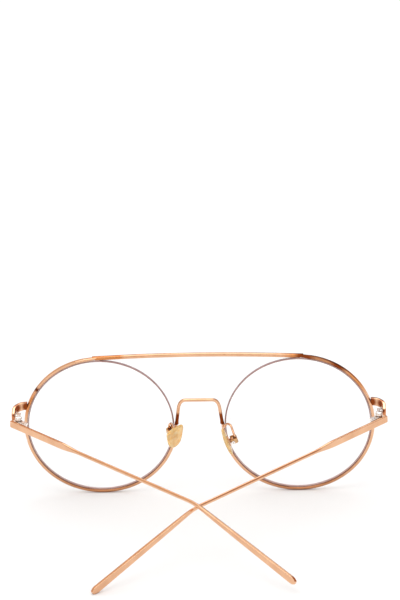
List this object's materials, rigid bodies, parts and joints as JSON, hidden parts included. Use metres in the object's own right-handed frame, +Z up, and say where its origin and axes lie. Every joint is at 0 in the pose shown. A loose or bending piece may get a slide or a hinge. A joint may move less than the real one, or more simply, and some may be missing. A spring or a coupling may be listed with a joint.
{
  "type": "round wire spectacles",
  "caption": "Round metal spectacles with a straight brow bar, clear lenses, rocking nose pads and folding temples, held half open.",
  "frame": {"origin": "under the middle of the whole, on the plane it stands on", "axes": "+X to the wearer's right, +Y forward out of the lenses, +Z up"},
  "size_m": [0.1404, 0.1042, 0.0584],
  "materials": {
    "rose_gold": "polished rose gold plating",
    "screw_metal": "bright polished steel of the hinges and screws",
    "lens": "clear, polished, uncoloured",
    "lens_cord": "satin nylon, mauve grey",
    "nose_pad": "translucent honey silicone"
  },
  "bodies": {
    "front": {"brow_bar": "rose_gold", "bridge_wire": "rose_gold", "lens_left": "lens", "rim_left": "rose_gold", "lens_cord_left": "lens_cord", "end_piece_left": "rose_gold", "hinge_front_leaf_left": "screw_metal", "hinge_screw_left": "screw_metal", "pad_arm_left": "rose_gold", "pad_box_left": "rose_gold", "pad_screw_left": "screw_metal", "lens_right": "lens", "rim_right": "rose_gold", "lens_cord_right": "lens_cord", "end_piece_right": "rose_gold", "hinge_front_leaf_right": "screw_metal", "hinge_screw_right": "screw_metal", "pad_arm_right": "rose_gold", "pad_box_right": "rose_gold", "pad_screw_right": "screw_metal"},
    "temple_left": {"temple_left": "rose_gold", "hinge_temple_leaf_left": "screw_metal"},
    "pad_left": {"nose_pad_left": "nose_pad", "pad_core_left": "rose_gold"},
    "temple_right": {"temple_right": "rose_gold", "hinge_temple_leaf_right": "screw_metal"},
    "pad_right": {"nose_pad_right": "nose_pad", "pad_core_right": "rose_gold"}
  },
  "joints": [
    {"name": "temple_right_fold", "type": "hinge", "parent": "front", "child": "temple_right", "pos_m": [0.067, 0.03634, 0.03443], "axis": [0, 0.153, -0.9882], "range_deg": [-50.1, 39.9]},
    {"name": "temple_left_fold", "type": "hinge", "parent": "front", "child": "temple_left", "pos_m": [-0.067, 0.03634, 0.03443], "axis": [0, -0.153, 0.9882], "range_deg": [-49.11, 39.11]},
    {"name": "pad_left_rock", "type": "hinge", "parent": "front", "child": "pad_left", "pos_m": [-0.0105, 0.04222, 0.02716], "axis": [0.7906, 0.5425, 0.2841], "range_deg": [-12, 12]},
    {"name": "pad_right_rock", "type": "hinge", "parent": "front", "child": "pad_right", "pos_m": [0.0124, 0.04128, 0.02408], "axis": [0.1769, -0.8974, -0.4042], "range_deg": [-12, 12]}
  ],
  "couplings": [
    {"joint": "temple_left_fold", "follows": "temple_right_fold", "ratio": 0.98004}
  ]
}
